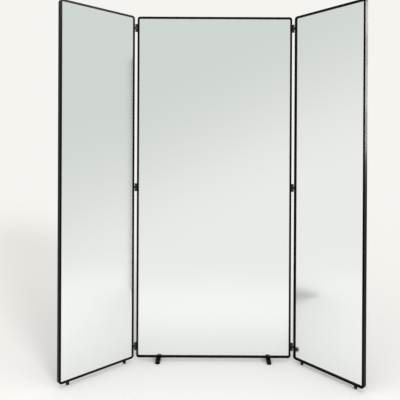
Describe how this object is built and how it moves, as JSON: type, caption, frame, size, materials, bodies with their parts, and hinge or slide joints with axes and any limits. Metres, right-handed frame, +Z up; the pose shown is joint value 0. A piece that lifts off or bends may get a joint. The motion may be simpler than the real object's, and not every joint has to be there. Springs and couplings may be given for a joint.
{
  "type": "folding mirror screen",
  "caption": "Free-standing folding screen: a wide mirrored centre panel and two narrower mirrored wings in thin black metal frames, on barrel hinges and small feet.",
  "frame": {"origin": "on the floor, in the middle of the rectangle that the screen covers as it is stored, with both wings swung forward", "axes": "+Z up; +X to the right of someone facing the mirrors; -Y to the front, where the mirrors face"},
  "size_m": [1.4116, 0.3596, 1.783],
  "materials": {
    "frame_black": "black powder coat, fine texture, satin",
    "mirror": "silvered float glass, ground edge",
    "board": "fibreboard, dark faced back, raw edges",
    "tape": "white foam bonding tape",
    "black_screws": "black oxide, cross recess",
    "pin_steel": "blackened steel",
    "hinge_black": "black satin coat",
    "bar_black": "black powder coat on steel, satin",
    "rubber": "matte black rubber",
    "zinc_screws": "zinc plated, cross recess"
  },
  "bodies": {
    "centre": {"centre_backing_board": "board", "centre_board_screws": "black_screws", "centre_bonding_tape": "tape", "centre_frame": "frame_black", "centre_mirror_glass": "mirror", "foot_bar_screws": "zinc_screws", "left_bottom_hinge_centre_leaf": "hinge_black", "left_bottom_hinge_pin": "pin_steel", "left_centre_leaf_screws": "black_screws", "left_foot_bar": "bar_black", "left_foot_bar_pads": "rubber", "left_middle_hinge_centre_leaf": "hinge_black", "left_middle_hinge_pin": "pin_steel", "left_top_hinge_centre_leaf": "hinge_black", "left_top_hinge_pin": "pin_steel", "right_bottom_hinge_centre_leaf": "hinge_black", "right_bottom_hinge_pin": "pin_steel", "right_centre_leaf_screws": "black_screws", "right_foot_bar": "bar_black", "right_foot_bar_pads": "rubber", "right_middle_hinge_centre_leaf": "hinge_black", "right_middle_hinge_pin": "pin_steel", "right_top_hinge_centre_leaf": "hinge_black", "right_top_hinge_pin": "pin_steel"},
    "left_wing": {"left_bottom_hinge_wing_leaf": "hinge_black", "left_middle_hinge_wing_leaf": "hinge_black", "left_top_hinge_wing_leaf": "hinge_black", "left_wing_backing_board": "board", "left_wing_board_screws": "black_screws", "left_wing_bonding_tape": "tape", "left_wing_foot_screws": "zinc_screws", "left_wing_frame": "frame_black", "left_wing_inner_foot": "rubber", "left_wing_leaf_screws": "black_screws", "left_wing_mirror_glass": "mirror", "left_wing_outer_foot": "rubber"},
    "right_wing": {"right_bottom_hinge_wing_leaf": "hinge_black", "right_middle_hinge_wing_leaf": "hinge_black", "right_top_hinge_wing_leaf": "hinge_black", "right_wing_backing_board": "board", "right_wing_board_screws": "black_screws", "right_wing_bonding_tape": "tape", "right_wing_foot_screws": "zinc_screws", "right_wing_frame": "frame_black", "right_wing_inner_foot": "rubber", "right_wing_leaf_screws": "black_screws", "right_wing_mirror_glass": "mirror", "right_wing_outer_foot": "rubber"}
  },
  "joints": [
    {"name": "left_wing_fold", "type": "hinge", "parent": "centre", "child": "left_wing", "pos_m": [-0.39416, 0.11895, 0.9005], "axis": [0, 0, 1], "range_deg": [-58, 137]},
    {"name": "right_wing_fold", "type": "hinge", "parent": "centre", "child": "right_wing", "pos_m": [0.41784, 0.11895, 0.9005], "axis": [0, 0, -1], "range_deg": [-63, 132]}
  ]
}
